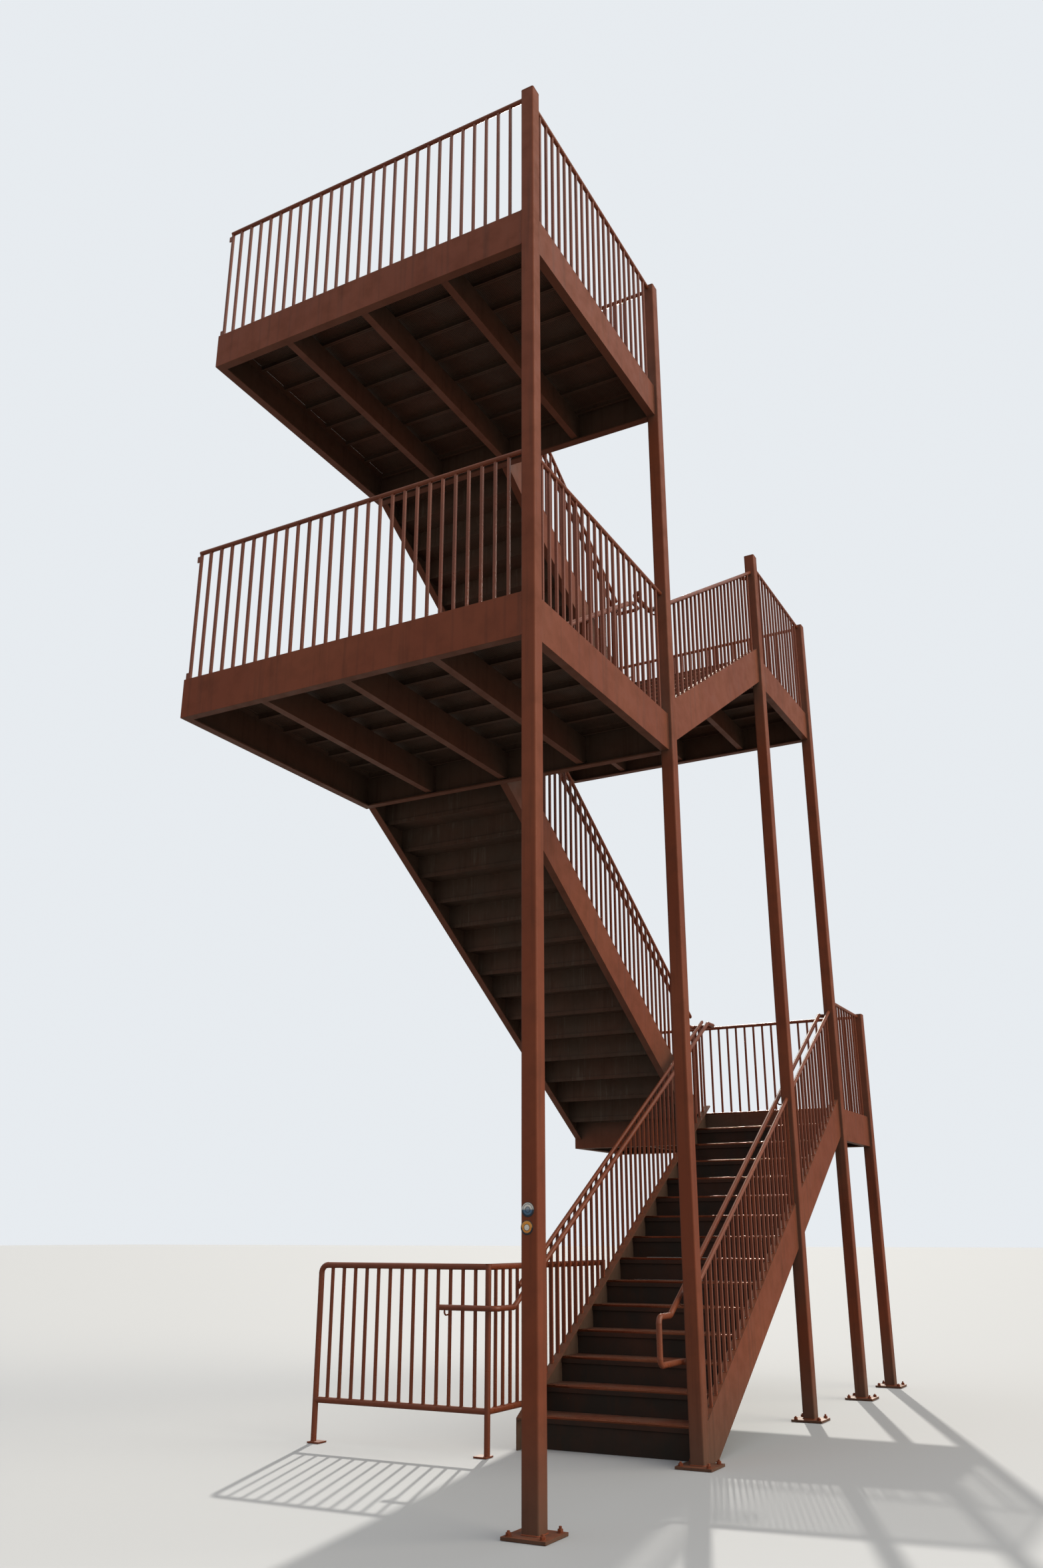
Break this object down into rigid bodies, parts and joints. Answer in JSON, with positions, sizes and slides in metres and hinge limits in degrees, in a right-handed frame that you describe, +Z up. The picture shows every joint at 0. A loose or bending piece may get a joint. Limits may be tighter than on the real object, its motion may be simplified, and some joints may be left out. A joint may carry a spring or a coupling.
{
  "type": "fire escape stair",
  "caption": "Outdoor steel fire escape stair in red-brown paint, with flights folding back along a wall between landings on square columns",
  "frame": {"origin": "under the middle of the near outer column's base plate, at ground level", "axes": "+X along the wall away from the near column, +Y towards the wall, +Z up"},
  "size_m": [7.833, 2.9959, 9.472],
  "materials": {
    "painted_frame": "satin red-brown paint, weathered",
    "deck_steel": "matt red-brown paint on folded sheet, worn at the nosings",
    "plate_steel": "matt red-brown paint on plate"
  },
  "bodies": {
    "root": {"column_a": "painted_frame", "column_b": "painted_frame", "column_c": "painted_frame", "column_d": "painted_frame", "column_e": "painted_frame", "column_caps": "painted_frame", "base_plates": "plate_steel", "level_3_frame": "painted_frame", "level_2_frame": "painted_frame", "mid_frame": "painted_frame", "low_frame": "painted_frame", "level_3_deck": "deck_steel", "level_2_deck": "deck_steel", "mid_deck": "deck_steel", "low_deck": "deck_steel", "flight_1_stringers": "painted_frame", "flight_2_stringers": "painted_frame", "flight_3_stringers": "painted_frame", "flight_4_stringers": "painted_frame", "flight_1_steps": "deck_steel", "flight_2_steps": "deck_steel", "flight_3_steps": "deck_steel", "flight_4_steps": "deck_steel", "flight_1_outer_guard": "painted_frame", "flight_1_inner_guard": "painted_frame", "flight_2_inner_guard": "painted_frame", "flight_3_outer_guard": "painted_frame", "flight_3_inner_guard": "painted_frame", "flight_4_inner_guard": "painted_frame", "level_3_near_guard": "painted_frame", "level_3_outer_guard": "painted_frame", "level_3_far_guard": "painted_frame", "level_2_near_guard": "painted_frame", "level_2_outer_guard": "painted_frame", "mid_outer_guard": "painted_frame", "mid_far_guard": "painted_frame", "low_outer_guard": "painted_frame", "low_far_guard": "painted_frame", "flight_1_handrails": "painted_frame", "flight_2_handrails": "painted_frame", "flight_3_handrails": "painted_frame", "flight_4_handrails": "painted_frame", "end_guard": "painted_frame", "under_stair_guard": "painted_frame"}
  },
  "joints": []
}
